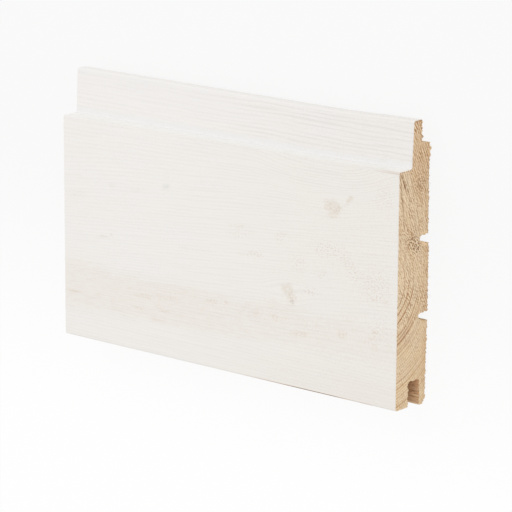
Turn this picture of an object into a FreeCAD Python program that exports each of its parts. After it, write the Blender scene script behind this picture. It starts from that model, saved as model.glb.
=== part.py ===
import FreeCAD
import Part
import math
import os

# Tongue and groove board: a short length of softwood cladding with a shadow gap.
# The board lies on its back with the finished face up. X runs along the board, Y across it
# towards the tongue, and Z through its thickness. The origin is under the middle of the board.
# All sizes are in millimetres.

# Stock
BOARD_LENGTH = 183.5
BOARD_WIDTH = 120.0
BOARD_THICKNESS = 21.0

# Tongue: its front leans back from the foot of the shoulder to the tip
TONGUE_LENGTH = 9.3
TONGUE_TIP_THICKNESS = 5.5
TONGUE_LEAN = 1.0
TONGUE_FRONT_RADIUS = 1.0
TONGUE_BACK_RADIUS = 0.6

# Shadow gap: the part of the rebated front that the next board leaves uncovered
SHADOW_GAP_HEIGHT = 10.45
SHADOW_GAP_DEPTH = 8.5
SHOULDER_EDGE_RADIUS = 0.6
SHOULDER_FOOT_RADIUS = 0.8

# Back shoulder: it falls away from the tongue towards the back, so that water runs off
BACK_SHOULDER_FALL = 1.0
BACK_SHOULDER_FOOT_RADIUS = 0.4
BACK_SHOULDER_EDGE_RADIUS = 0.4

# Groove: room for the tongue of the next board, behind its tip and at its back
TIP_CLEARANCE = 1.6
TONGUE_CLEARANCE = 0.85
GROOVE_DRAFT = 0.4
GROOVE_ROOT_RADIUS = 1.0
GROOVE_MOUTH_RADIUS = 0.4

# Lips on both sides of the groove: the front one stops short of the back one
FRONT_LIP_SETBACK = 0.5
FACE_EDGE_RADIUS = 1.0
BACK_LIP_CHAMFER = 2.4

# Relief grooves: two saw-tooth cuts along the back that keep the board from cupping
RELIEF_SPACING = 32.4
RELIEF_MIDDLE_FROM_GROOVE_EDGE = 53.5
RELIEF_DEPTH = 6.2
RELIEF_MOUTH_WIDTH = 3.6
RELIEF_ROOT_WIDTH = 1.5
RELIEF_STEEP_WALL_LEAN = 0.3
RELIEF_ROOT_RADIUS = 0.5
RELIEF_MOUTH_RADIUS = 0.2

# A rounded corner takes up at most this share of the shorter side beside it
LARGEST_CORNER_SHARE = 0.45

# Places across the width, from the tongue's tip down to the edge with the groove
tip_y = BOARD_WIDTH / 2
back_shoulder_y = tip_y - TONGUE_LENGTH
front_shoulder_y = back_shoulder_y - SHADOW_GAP_HEIGHT
groove_edge_y = -BOARD_WIDTH / 2
face_edge_y = groove_edge_y + FRONT_LIP_SETBACK
groove_root_y = groove_edge_y + TONGUE_LENGTH + TIP_CLEARANCE
relief_middle_y = groove_edge_y + RELIEF_MIDDLE_FROM_GROOVE_EDGE

# Heights above the back: the front wall of the groove is in line with the floor of the shadow gap
face_z = BOARD_THICKNESS
rebate_z = face_z - SHADOW_GAP_DEPTH
tongue_front_z = rebate_z - TONGUE_LEAN
tongue_back_z = tongue_front_z - TONGUE_TIP_THICKNESS
groove_back_root_z = tongue_back_z - TONGUE_CLEARANCE
groove_back_mouth_z = groove_back_root_z - GROOVE_DRAFT


def relief_corners(middle_y):
    """Corners of one relief groove, met from the tongue's side: (y, z, radius)."""
    steep_mouth_y = middle_y + RELIEF_MOUTH_WIDTH / 2
    sloping_mouth_y = middle_y - RELIEF_MOUTH_WIDTH / 2
    steep_root_y = steep_mouth_y - RELIEF_STEEP_WALL_LEAN
    sloping_root_y = steep_root_y - RELIEF_ROOT_WIDTH
    return [
        (steep_mouth_y, 0.0, RELIEF_MOUTH_RADIUS),
        (steep_root_y, RELIEF_DEPTH, RELIEF_ROOT_RADIUS),
        (sloping_root_y, RELIEF_DEPTH, RELIEF_ROOT_RADIUS),
        (sloping_mouth_y, 0.0, RELIEF_MOUTH_RADIUS),
    ]


def section_corners():
    """Corners of the board's section in order, as (y, z, radius)."""
    front = [
        (face_edge_y, face_z, FACE_EDGE_RADIUS),
        (front_shoulder_y, face_z, SHOULDER_EDGE_RADIUS),
        (front_shoulder_y, rebate_z, SHOULDER_FOOT_RADIUS),
    ]
    tongue = [
        (tip_y, tongue_front_z, TONGUE_FRONT_RADIUS),
        (tip_y, tongue_back_z, TONGUE_BACK_RADIUS),
        (back_shoulder_y, tongue_back_z, BACK_SHOULDER_FOOT_RADIUS),
    ]
    back = [(back_shoulder_y - BACK_SHOULDER_FALL, 0.0, BACK_SHOULDER_EDGE_RADIUS)]
    for side in (1, -1):
        back += relief_corners(relief_middle_y + side * RELIEF_SPACING / 2)
    back_lip = [
        (groove_edge_y + BACK_LIP_CHAMFER, 0.0, 0.0),
        (groove_edge_y, BACK_LIP_CHAMFER, 0.0),
    ]
    groove = [
        (groove_edge_y, groove_back_mouth_z, GROOVE_MOUTH_RADIUS),
        (groove_root_y, groove_back_root_z, GROOVE_ROOT_RADIUS),
        (groove_root_y, rebate_z, GROOVE_ROOT_RADIUS),
        (face_edge_y, rebate_z, GROOVE_MOUTH_RADIUS),
    ]
    return front + tongue + back + back_lip + groove


def round_corner(before, corner, after, radius):
    """Start, middle and end of the arc that rounds one corner, or the corner itself."""
    if radius == 0.0:
        return [corner]
    to_before = before - corner
    to_after = after - corner
    half_angle = to_before.getAngle(to_after) / 2
    longest_tangent = LARGEST_CORNER_SHARE * min(to_before.Length, to_after.Length)
    tangent = min(radius / math.tan(half_angle), longest_tangent)
    start = corner + to_before.normalize() * tangent
    end = corner + to_after.normalize() * tangent
    inward = (to_before + to_after).normalize()
    centre_distance = tangent / math.cos(half_angle)
    arc_radius = tangent * math.tan(half_angle)
    middle = corner + inward * (centre_distance - arc_radius)
    return [start, middle, end]


def rounded_face(corners, x):
    """Closed face across the board at x, with each corner rounded to its own radius."""
    points = [FreeCAD.Vector(x, y, z) for y, z, _ in corners]
    rounds = []
    for i, (_, _, radius) in enumerate(corners):
        following = points[(i + 1) % len(points)]
        rounds.append(round_corner(points[i - 1], points[i], following, radius))
    edges = []
    for here, following in zip(rounds, rounds[1:] + rounds[:1]):
        if len(here) > 1:
            edges.append(Part.Arc(*here).toShape())
        edges.append(Part.LineSegment(here[-1], following[0]).toShape())
    return Part.Face(Part.Wire(edges))


def tongue_and_groove_board():
    """The whole board: its section, run along the length."""
    section = rounded_face(section_corners(), -BOARD_LENGTH / 2)
    return section.extrude(FreeCAD.Vector(BOARD_LENGTH, 0, 0))


os.makedirs("parts", exist_ok=True)
tongue_and_groove_board().exportStep("parts/tongue_and_groove_board.step")
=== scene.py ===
"""Looks of the tongue and groove board: white glaze, bare wood and sawn ends over its CAD solid.

X runs along the board, Y across it towards the tongue and Z up to the glazed face. Shapes and
patterns are worked out in millimetres and turned into metres where they become a mesh. A zone is
a pair of places: what it limits is 0 before the first, 1 after the second and smooth between.
"""
import math
import random

import bpy
import numpy as np
from mathutils import Matrix, Vector
from mathutils.geometry import delaunay_2d_cdt


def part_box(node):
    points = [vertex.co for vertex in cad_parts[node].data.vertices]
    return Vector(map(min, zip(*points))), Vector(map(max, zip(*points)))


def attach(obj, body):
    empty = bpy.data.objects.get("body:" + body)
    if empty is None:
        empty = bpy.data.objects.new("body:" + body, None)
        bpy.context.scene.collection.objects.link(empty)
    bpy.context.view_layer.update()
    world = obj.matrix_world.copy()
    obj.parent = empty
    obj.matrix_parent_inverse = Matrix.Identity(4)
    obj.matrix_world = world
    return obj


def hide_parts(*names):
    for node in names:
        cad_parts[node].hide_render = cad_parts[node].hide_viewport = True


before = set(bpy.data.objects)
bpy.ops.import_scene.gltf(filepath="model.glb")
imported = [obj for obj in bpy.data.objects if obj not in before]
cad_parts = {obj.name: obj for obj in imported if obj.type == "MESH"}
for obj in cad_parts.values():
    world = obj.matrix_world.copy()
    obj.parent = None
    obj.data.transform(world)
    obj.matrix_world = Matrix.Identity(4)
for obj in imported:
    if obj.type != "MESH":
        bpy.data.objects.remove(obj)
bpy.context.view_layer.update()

MM = 0.001
BOARD = "tongue_and_groove_board"
lowest, highest = (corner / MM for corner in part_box(BOARD))
half_length = highest.x
face_z = highest.z

# Where the shoulder and the floor of the rebate are on the section
SHOULDER_Y = 40.25
REBATE_Z = 12.5

# Grain of the face: its lines rise to the right in the middle and pass round the knots
GRAIN_RISE = 0.095
RISE_ABOVE = (-48, -14)
RISE_BELOW = (46, 8)
BIG_KNOT = (58.9, 21.2)
LONG_KNOT = (35.4, -18.4)
KNOT_REACH = (17.0, 9.0)
KNOT_BEND = 0.55
SAG_MIDDLE = (55.0, 34.0)
SAG_REACH = (40.0, 15.0)
SAG_DEPTH = 3.5
END_CLIMB = 6.0
CLIMB_ALONG = (62, 98)
CLIMB_ACROSS = (8, 36)
FACE_ONLY = (40.5, 40.1)

# Growth rings: their middle lies in front of the face, and above it they straighten out
PITH_Y = -5.0
PITH_Z = 31.0
STRAIGHT_FROM = 8.0
STRAIGHT_CURVE = 0.06

# Swelling: how far the right end's tongue side and back lip moved, from where along the board
END_SWELL = 0.95
LIP_SWELL = 0.38
SWELL_FROM = 50.0
SWELL_PAST_END = 1.0
SWELL_TONGUE_SIDE = (-35, 42)
SWELL_LIP_ACROSS = (-50, -57)
SWELL_LIP_UP = (6.5, 5.2)


# Values that are numbers, arrays or fields alike


def ease(value, start, end):
    """0 before start, 1 after end and smooth between."""
    if isinstance(value, Field):
        sockets = {"Value": value, "From Min": start, "From Max": end}
        return value.node("ShaderNodeMapRange", {"interpolation_type": "SMOOTHSTEP"}, sockets)
    share = np.clip((value - start) / (end - start), 0, 1)
    return share * share * (3 - 2 * share)


def between(value, rise, fall):
    """1 after the zone where it rises and before the zone where it falls."""
    return ease(value, *rise) * ease(value, *fall)


def at_most(value, limit):
    """The value, or the limit where the value is above it."""
    if isinstance(value, Field):
        return value.math("MINIMUM", value, limit)
    return np.minimum(value, limit)


def at_least(value, limit):
    """The value, or the limit where the value is below it."""
    if isinstance(value, Field):
        return value.math("MAXIMUM", value, limit)
    return np.maximum(value, limit)


def hill(x, y, middle, reach):
    """1 at the middle, falling smoothly to 0 at the reach along x and y."""
    along = (x - middle[0]) / reach[0]
    across = (y - middle[1]) / reach[1]
    return ease(along * along + across * across, 1, 0)


def grain_height(x, y):
    """Which grain line passes through a point of the face, given as its height far from the knots."""
    height = y - GRAIN_RISE * between(y, RISE_ABOVE, RISE_BELOW) * x
    for knot in (BIG_KNOT, LONG_KNOT):
        height = height - KNOT_BEND * (y - knot[1]) * hill(x, y, knot, KNOT_REACH)
    sag = SAG_DEPTH * hill(x, y, SAG_MIDDLE, SAG_REACH)
    climb = END_CLIMB * ease(x, *CLIMB_ALONG) * ease(y, *CLIMB_ACROSS)
    return height + (sag - climb) * ease(y, *FACE_ONLY)


def ring_radius(y, z):
    """Distance from the middle of the growth rings, along which they follow one another."""
    up = y - PITH_Y
    curved = at_most(up, STRAIGHT_FROM)
    straight = at_least(up - STRAIGHT_FROM, 0.0)
    spread = curved * curved + 2 * STRAIGHT_FROM * straight + STRAIGHT_CURVE * straight * straight
    depth = z - PITH_Z
    return (depth * depth + spread) ** 0.5


def swelling(x):
    """How much of the right end's swelling there is at a place along the board."""
    return ease(x, SWELL_FROM, half_length + SWELL_PAST_END)


# Shape

# How close the mesh's points are
LONG_SIDE = 0.4
ARC_STEP = 0.13
FACE_STEP = 0.36
BACK_STEP = 0.6
WALL_STEP = 0.65
LENGTH_STEP = 2.4
END_OFFSETS = (0.0, 0.3, 0.8, 1.5, 2.6, 4.2)
CAP_STEP = 0.55
CAP_SHIFT = 0.2
RIM_CLEARANCE = 0.3
SAME_PLACE = 0.01
CLOSEST_POINTS = 1e-6
TRIANGLES_INSIDE = 1

# Corners of the section: which are sharp, and how much relief small rounded ones take
SHARP_TURN = math.radians(40)
CORNER_SHARE = 0.3
LEAST_TURN = 0.001
LIMIT_PASSES = 8
LIMIT_SLOPE = 0.4

# Sides of the section: which count as face or back, and which are glazed
FACING_UP = 0.5
BACK_HEIGHT = 0.5
GLAZED_FROM_Z = 12.45
TONGUE_FROM_Y = 40.0
TONGUE_GLAZED_FROM_Z = 6.2
GLAZED_FROM_FACING = -0.3
GLAZED, BARE, SAWN_END = range(3)

# Relief of the glazed face: waves are height, length, width and seed
BRUSHED_GRAIN = ((0.030, 48, 1.1, 1), (0.022, 22, 0.8, 2))
UNEVEN_FACE = ((0.04, 70, 12, 3),)
GLAZE_DEPTH = 0.03
KNOT_SIZES = ((BIG_KNOT, (4.6, 3.8)), (LONG_KNOT, (3.0, 5.6)))
KNOT_MOUND = 0.10
MOUND_REACH = (2.2, 2.0)
KNOT_DIP = 0.22
SMOOTH_TIP = (57.5, 59.0)
SMOOTH_SHOULDER = 0.8
SHOULDER_RISE = (38.8, 39.8)
SHOULDER_FALL = (42.0, 41.2)

# Relief of the back, which also stands in a little from the plane that the board lies on
BACK_HOLLOW_AT = (-60, -52, -38, -22, 6, 14, 43, 50)
BACK_HOLLOW = (0.85, 0.8, 0.5, 0.0, 0.0, 0.45, 0.6, 0.3)
HOLLOW_HEIGHT = (4.5, 0.0)
SAW_MARK_DEPTH = 0.05
SAW_MARK_SIZE = (1.7, 25)
SAW_MARK_LEAN = 60
LIFTED_FIBRES = 0.10
LIFTED_SIZE = (9, 0.9)
BACK_TEARS = 0.20
BACK_TEAR_SIZE = (14, 2.2)
BACK_TORN = (0.55, 0.95)

# Relief of the planed walls: the groove, the tongue's back and the relief cuts
PLANED_WALLS = ((0.05, 30, 0.9, 7),)
WALL_DEPTH = 0.05
WALL_TEARS = 0.22
WALL_TEAR_SIZE = (7, 1.6)
WALL_TORN = (0.45, 0.95)
WALL_END_TEARS = 0.5
WALL_END_TEAR_SIZE = (9, 0.8)
WALL_END_TORN = (-0.1, 0.7)
NEAR_END = (5, 1)
WHOLE_LIPS = (-59.3, -57.5)
END_ROUNDING = 0.06
END_ROUNDED = (0.5, 0.0)
END_ROUNDING_SIZE = 1.3

# Relief of the sawn ends: raised rings, leaning saw marks and torn pores
END_RELIEF = 0.05
END_RING_SIZE = (0.9, 30)
END_SAW_LEAN = 0.6
END_SAW_SIZE = (1.1, 14)
END_PORES = 0.10
END_PORE_SIZE = (1.0, 1.0)
END_TORN = (0.45, 0.9)
END_FROM_RIM = (0.2, 1.2)
END_SEEDS = {-1: 29, 1: 31}

# Torn rims of the ends; splinters of the right one are length, place and reach
RIM_PUSH = (-0.08, 0.06)
RIM_TORN_SHARE = 0.4
RIM_TORN_PUSH = (0.1, 0.5)
RIM_SEEDS = {-1: 21, 1: 22}
BACK_SPLINTERS = ((1.1, (47.4, 0.0), (0.9, 0.6)), (0.8, (44.2, 0.0), (0.9, 0.6)))
SHOULDER_SPLINTER = (1.0, (52.9, 6.0), (0.8, 0.7))

# Loose fibres; the two long ones are root and tip across the board, length and tip height
LONG_FIBRES = ((-5.5, -6.2, 2.0, 0.15), (-13.0, -14.4, 2.3, 0.12))
FIBRES_AN_END = 22
FIBRE_PLACES = ((-19, 6), (13, 46), (-55, -26))
FIBRE_ROOT = 0.8
FIBRE_HEIGHT = 0.25
FIBRE_LENGTH = (0.5, 1.3)
FIBRE_SWAY = 0.5
FIBRE_DROOP = 0.4
FIBRE_LOWEST = 0.06
FIBRE_THICKNESS = 0.1
FIBRE_SEED = 5

# Flat map of the surface
MAP_GAP = 2.0
FIBRE_MAP_PITCH = 3.5
FIBRE_MAP_SIZE = 0.8


# Steps that scatter the random numbers of a grid
COLUMN_STEP = 127.1
ROW_STEP = 311.7
SEED_STEP = 74.7
SCATTER = 43758.5453


def lattice(column, row, seed):
    """A fixed random number from -1 to 1 for each corner of a grid."""
    mixed = np.sin(column * COLUMN_STEP + row * ROW_STEP + seed * SEED_STEP) * SCATTER
    return 2 * (mixed - np.floor(mixed)) - 1


def wander(u, v, seed):
    """Smooth random hills and hollows from -1 to 1, about one unit across."""
    column = np.floor(u)
    row = np.floor(v)
    right = ease(u - column, 0, 1)
    up = ease(v - row, 0, 1)
    low = lattice(column, row, seed) * (1 - right) + lattice(column + 1, row, seed) * right
    top = lattice(column, row + 1, seed) * (1 - right) + lattice(column + 1, row + 1, seed) * right
    return low * (1 - up) + top * up


def waves(u, v, kinds):
    """Hills and hollows of several kinds, each given as height, length, width and seed."""
    return sum(height * wander(u / length, v / width, seed) for height, length, width, seed in kinds)


def tears(u, v, size, torn, seed):
    """0 on whole wood and 1 in torn places of about this length and width."""
    return ease(wander(u / size[0], v / size[1], seed), *torn)


def thinned(section):
    """The section without the points of its small arcs that are very close together."""
    kept = [section[0]]
    for i in range(1, len(section)):
        side_before = math.dist(section[i - 1], section[i])
        side_after = math.dist(section[i], section[(i + 1) % len(section)])
        if max(side_before, side_after) > LONG_SIDE or math.dist(kept[-1], section[i]) > ARC_STEP:
            kept.append(section[i])
    return np.array(kept)


def end_section(node):
    """The board's section as (y, z) corners in order, the wood on their left, in millimetres."""
    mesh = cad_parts[node].data
    end_x = max(vertex.co.x for vertex in mesh.vertices)
    sides = set()
    for polygon in mesh.polygons:
        points = [mesh.vertices[i].co for i in polygon.vertices]
        if all(abs(point.x - end_x) < SAME_PLACE * MM for point in points):
            corners = [(round(point.y / MM, 3), round(point.z / MM, 3)) for point in points]
            sides.update(zip(corners, corners[1:] + corners[:1]))
    follows = {start: end for start, end in sides if (end, start) not in sides}
    section = [min(follows)]
    while follows[section[-1]] != section[0]:
        section.append(follows[section[-1]])
    return thinned(section)


def side_step(outward):
    """How far apart points may be on a side of the section that faces this way."""
    if outward[1] > FACING_UP:
        return FACE_STEP
    if outward[1] < -FACING_UP:
        return BACK_STEP
    return WALL_STEP


def finish_of(place, outward):
    """Which finish a point of the section has."""
    y, z = place
    on_front = z > GLAZED_FROM_Z
    on_tongue = y > TONGUE_FROM_Y and z > TONGUE_GLAZED_FROM_Z
    if outward[1] > GLAZED_FROM_FACING and (on_front or on_tongue):
        return GLAZED
    return BARE


class FineSection:
    """The board's section with close points: their places, directions out of the wood and finishes,
    which of them are sharp corners, the steps between them and the run round the section."""

    def __init__(self, corners):
        sides = np.roll(corners, -1, axis=0) - corners
        lengths = np.linalg.norm(sides, axis=1)
        outwards = np.column_stack((sides[:, 1], -sides[:, 0])) / lengths[:, None]
        places = []
        facing = []
        sharp = []
        for i, (corner, side, outward) in enumerate(zip(corners, sides, outwards)):
            count = max(1, math.ceil(lengths[i] / side_step(outward)))
            both = outwards[i - 1] + outward
            turn = math.acos(float(np.clip(np.dot(outwards[i - 1], outward), -1, 1)))
            for k in range(count):
                places.append(corner + side * k / count)
                facing.append(outward if k else both / np.linalg.norm(both))
                sharp.append(k == 0 and turn > SHARP_TURN)
        self.places = np.array(places)
        self.facing = np.array(facing)
        self.sharp = np.array(sharp)
        self.finish = np.array([finish_of(*point) for point in zip(places, facing)])
        self.steps = np.linalg.norm(np.roll(self.places, -1, axis=0) - self.places, axis=1)
        self.run = np.concatenate(([0.0], np.cumsum(self.steps)))

    def relief_limit(self):
        """The most relief at each point that leaves small rounded corners their form."""
        before = np.roll(self.facing, 1, axis=0)
        after = np.roll(self.facing, -1, axis=0)
        turning = np.arccos(np.clip((before * after).sum(axis=1), -1, 1))
        shortest = np.minimum(self.steps, np.roll(self.steps, 1))
        limit = CORNER_SHARE * 2 * shortest / np.maximum(turning, LEAST_TURN)
        for _ in range(LIMIT_PASSES):
            limit = np.minimum(limit, np.roll(limit, -1) + LIMIT_SLOPE * self.steps)
            limit = np.minimum(limit, np.roll(limit + LIMIT_SLOPE * self.steps, 1))
        return limit


def glaze_relief(x, y):
    """Brushed grain, knots and small tears of the glazed face."""
    relief = waves(x, grain_height(x, y), BRUSHED_GRAIN) + waves(x, y, UNEVEN_FACE)
    for knot, size in KNOT_SIZES:
        mound = (MOUND_REACH[0] * size[0], MOUND_REACH[1] * size[1])
        relief += KNOT_MOUND * hill(x, y, knot, mound)
        relief -= KNOT_DIP * hill(x, y, knot, size)
    at_shoulder = SMOOTH_SHOULDER * between(y, SHOULDER_RISE, SHOULDER_FALL)
    smooth = np.maximum(ease(y, *SMOOTH_TIP), at_shoulder)
    return (relief - GLAZE_DEPTH) * (1 - smooth)


def back_relief(x, y):
    """Rough back with saw marks and lifted fibres."""
    saw_marks = wander(x / SAW_MARK_SIZE[0] + y / SAW_MARK_LEAN, y / SAW_MARK_SIZE[1], 4)
    relief = -SAW_MARK_DEPTH * (1 + saw_marks)
    relief -= LIFTED_FIBRES * np.abs(wander(x / LIFTED_SIZE[0], y / LIFTED_SIZE[1], 5))
    return relief - BACK_TEARS * tears(x, y, BACK_TEAR_SIZE, BACK_TORN, 6)


def wall_relief(x, y, run):
    """Planed walls of the groove, the tongue's back and the relief cuts, torn but for the lips' edges."""
    near_end = ease(half_length - np.abs(x), *NEAR_END)
    torn = WALL_TEARS * tears(x, run, WALL_TEAR_SIZE, WALL_TORN, 8)
    torn = torn + WALL_END_TEARS * near_end * tears(x, run, WALL_END_TEAR_SIZE, WALL_END_TORN, 10)
    return waves(x, run, PLANED_WALLS) - torn * ease(y, *WHOLE_LIPS) - WALL_DEPTH


def swollen(x, y, z):
    """Places across the board after its right end has swollen."""
    tongue_side = END_SWELL * ease(y, *SWELL_TONGUE_SIDE)
    back_lip = LIP_SWELL * ease(y, *SWELL_LIP_ACROSS) * ease(z, *SWELL_LIP_UP)
    return y + (tongue_side - back_lip) * swelling(x)


def back_hollow(y):
    """How far the back stands in from the plane that the board lies on."""
    return np.interp(y, BACK_HOLLOW_AT, BACK_HOLLOW)


def places_along():
    """Where the rows of points lie along the board, closer together near its ends."""
    inner = half_length - END_OFFSETS[-1]
    middle = np.linspace(-inner, inner, round(2 * inner / LENGTH_STEP) + 1)
    ends = half_length - np.array(END_OFFSETS[:-1])
    return np.concatenate((-ends, middle, ends[::-1]))


def side_points(section):
    """Points of the board's long sides: one row for each place along X, one column round the section."""
    x = places_along()[:, None]
    y = section.places[None, :, 0]
    z = section.places[None, :, 1]
    run = section.run[None, :-1]
    on_back = (section.facing[:, 1] < -FACING_UP) & (section.places[:, 1] < BACK_HEIGHT)
    relief = np.where(section.finish == GLAZED, glaze_relief(x, y), wall_relief(x, y, run))
    relief = np.where(on_back, back_relief(x, y), relief)
    rounded = ease(half_length - np.abs(x), *END_ROUNDED)
    relief -= END_ROUNDING * rounded * (1.0 + wander(run / END_ROUNDING_SIZE, x, 9))
    limit = section.relief_limit()
    relief = np.clip(relief, -limit, limit)
    points = np.empty(relief.shape + (3,))
    points[..., 0] = x
    points[..., 1] = swollen(x, y + relief * section.facing[:, 0], z)
    hollow = back_hollow(y) * ease(z, *HOLLOW_HEIGHT)
    points[..., 2] = np.maximum(z + hollow + relief * section.facing[:, 1], 0.0)
    return points


def inside(points, loop):
    """Which points lie inside a closed loop."""
    found = np.zeros(len(points), bool)
    for start, end in zip(loop, np.roll(loop, -1, axis=0)):
        crosses = (start[1] > points[:, 1]) != (end[1] > points[:, 1])
        rise = end[1] - start[1]
        if rise != 0:
            at = start[0] + (points[:, 1] - start[1]) / rise * (end[0] - start[0])
            found ^= crosses & (points[:, 0] < at)
    return found


def rim_distance(points, loop):
    """How far each point is from the nearest point of a loop."""
    nearest = np.full(len(points), np.inf)
    for corner in loop:
        nearest = np.minimum(nearest, np.hypot(points[:, 0] - corner[0], points[:, 1] - corner[1]))
    return nearest


def end_relief(y, z, seed):
    """Sawn end: raised late rings, fine saw marks and torn pores."""
    across_marks = y + END_SAW_LEAN * z
    along_marks = z - END_SAW_LEAN * y
    rings = wander(ring_radius(y, z) / END_RING_SIZE[0], y / END_RING_SIZE[1], seed)
    saw_marks = wander(across_marks / END_SAW_SIZE[0], along_marks / END_SAW_SIZE[1], seed + 1)
    pores = tears(y, z, END_PORE_SIZE, END_TORN, seed + 2)
    return END_RELIEF * (rings + saw_marks) - END_PORES * pores


def cap_grid(low, high, seed):
    """Slightly irregular points over the rectangle round an end."""
    draw = random.Random(seed)
    grid = []
    for row in range(int((high[1] - low[1]) / CAP_STEP) + 1):
        for column in range(int((high[0] - low[0]) / CAP_STEP) + 1):
            every_other = 0.5 * (row % 2)
            y = low[0] + (column + every_other + draw.uniform(-CAP_SHIFT, CAP_SHIFT)) * CAP_STEP
            z = low[1] + (row + draw.uniform(-CAP_SHIFT, CAP_SHIFT)) * CAP_STEP
            grid.append((y, z))
    return np.array(grid)


def sawn_end(rim, side):
    """Points inside an end's rim and the end's triangles; the rim's points come first."""
    loop = rim[:, 1:]
    seed = END_SEEDS[side]
    grid = cap_grid(loop.min(axis=0), loop.max(axis=0), seed)
    grid = grid[inside(grid, loop)]
    distance = rim_distance(grid, loop)
    grid = grid[distance > RIM_CLEARANCE]
    distance = distance[distance > RIM_CLEARANCE]
    flat = [Vector(point) for point in np.concatenate((loop, grid))]
    outline = list(range(len(loop)))
    made = delaunay_2d_cdt(flat, [], [outline], TRIANGLES_INSIDE, CLOSEST_POINTS)
    _, _, found, sources, _, _ = made
    triangles = [[sources[i][0] for i in triangle] for triangle in found]
    relief = end_relief(grid[:, 0], grid[:, 1], seed) * ease(distance, *END_FROM_RIM)
    inner = np.column_stack((side * (half_length + relief), grid))
    return inner, triangles


def splinter(section, length, place, reach):
    """A splinter of this length that stands out past the sawn end."""
    return length * hill(section.places[:, 0], section.places[:, 1], place, reach)


def torn_rim(section, side):
    """How far the wood stands out past the sawn end at each point of its rim."""
    draw = random.Random(RIM_SEEDS[side])
    push = np.array([draw.uniform(*RIM_PUSH) for _ in section.places])
    for i, outward in enumerate(section.facing):
        if outward[1] < -FACING_UP and draw.random() < RIM_TORN_SHARE:
            push[i] += draw.uniform(*RIM_TORN_PUSH)
    if side > 0:
        on_back = section.places[:, 1] < BACK_HEIGHT
        for kind in BACK_SPLINTERS:
            push += splinter(section, *kind) * on_back
        push += splinter(section, *SHOULDER_SPLINTER)
    return push


def spike(root, tip):
    """A loose fibre: a thin three-sided spike from inside the wood to its tip."""
    root = Vector(root)
    tip = Vector(tip)
    along = (tip - root).normalized()
    side = along.orthogonal().normalized() * FIBRE_THICKNESS
    ring = [root + Matrix.Rotation(math.tau * k / 3, 3, along) @ side for k in range(3)]
    return ring + [tip], [(0, 2, 1), (0, 1, 3), (1, 2, 3), (2, 0, 3)]


def loose_fibres():
    """Roots and tips of the fibres that the saw left standing along the back edges of both ends."""
    fibres = []
    for root_y, tip_y, length, tip_z in LONG_FIBRES:
        root = (half_length - FIBRE_ROOT, root_y, FIBRE_HEIGHT)
        fibres.append((root, (half_length + length, tip_y, tip_z)))
    draw = random.Random(FIBRE_SEED)
    for side in (-1, 1):
        for _ in range(FIBRES_AN_END):
            y = draw.choice([draw.uniform(*place) for place in FIBRE_PLACES])
            z = FIBRE_HEIGHT + float(back_hollow(y))
            length = draw.uniform(*FIBRE_LENGTH)
            tip_y = y + draw.uniform(-FIBRE_SWAY, FIBRE_SWAY)
            tip_z = max(FIBRE_LOWEST, z - draw.random() * FIBRE_DROOP)
            root = (side * (half_length - FIBRE_ROOT), y, z)
            fibres.append((root, (side * (half_length + length), tip_y, tip_z)))
    return fibres


class Skin:
    """The board's mesh while it is put together: its points, and each face with its finish and the
    places of its corners on the flat map."""

    def __init__(self, section, sides):
        self.section = section
        self.sides = sides
        self.points = sides.reshape(-1, 3).tolist()
        self.faces = []
        self.finishes = []
        self.flat = []
        self.map_size = section.run[-1] + 2 * MAP_GAP

    def add_points(self, points):
        """Adds points and gives the number of the first."""
        first = len(self.points)
        self.points += points
        return first

    def add_face(self, face, finish, flat):
        """Adds one face by the numbers of its points."""
        self.faces.append(face)
        self.finishes.append(finish)
        self.flat.append(flat)

    def add_sides(self):
        """The long sides, which lie on the map as one unrolled sheet."""
        rows, columns = self.sides.shape[:2]
        along = self.sides[:, 0, 0] + half_length
        run = self.section.run
        for i in range(rows - 1):
            here = i * columns
            there = here + columns
            for j in range(columns):
                k = (j + 1) % columns
                finish = int(self.section.finish[j])
                if finish != self.section.finish[k]:
                    finish = BARE
                flat = ((along[i], run[j]), (along[i], run[j + 1]),
                        (along[i + 1], run[j + 1]), (along[i + 1], run[j]))
                self.add_face((here + j, here + k, there + k, there + j), finish, flat)

    def add_end(self, side):
        """One sawn end, which lies on the map beside the long sides."""
        rows, columns = self.sides.shape[:2]
        row = rows - 1 if side > 0 else 0
        inner, triangles = sawn_end(self.sides[row], side)
        first = self.add_points(inner.tolist())
        number = list(range(row * columns, (row + 1) * columns)) + list(range(first, len(self.points)))
        scale = (self.map_size - 3 * MAP_GAP) / (highest.y - lowest.y)
        left = 2 * half_length + 3 * MAP_GAP
        if side > 0:
            left += (face_z + MAP_GAP) * scale
        for triangle in triangles:
            face = tuple(number[k] for k in triangle[::side])
            corners = [self.points[k] for k in face]
            flat = [(left + z * scale, MAP_GAP + (y - lowest.y) * scale) for _, y, z in corners]
            self.add_face(face, SAWN_END, flat)

    def add_fibres(self):
        """The loose fibres, which lie on the map in a row past the long sides."""
        bottom = self.section.run[-1] + MAP_GAP / 2
        for at, (root, tip) in enumerate(loose_fibres()):
            points, faces = spike(root, tip)
            first = self.add_points([tuple(point) for point in points])
            left = MAP_GAP / 2 + at * FIBRE_MAP_PITCH
            for face in faces:
                flat = [(left + FIBRE_MAP_SIZE * k, bottom + FIBRE_MAP_SIZE * (k % 2)) for k in face]
                self.add_face(tuple(first + k for k in face), SAWN_END, flat)

    def mark_sharp(self, mesh):
        """Marks the rims of both ends and the section's sharp corners as sharp edges."""
        rows, columns = self.sides.shape[:2]
        rim_rows = (0, rows - 1)
        for edge in mesh.edges:
            start, end = sorted(edge.vertices)
            if end >= rows * columns:
                continue
            same_row = start // columns == end // columns
            same_column = start % columns == end % columns
            on_rim = same_row and start // columns in rim_rows
            on_corner = not same_row and same_column and self.section.sharp[start % columns]
            edge.use_edge_sharp = bool(on_rim or on_corner)


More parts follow.
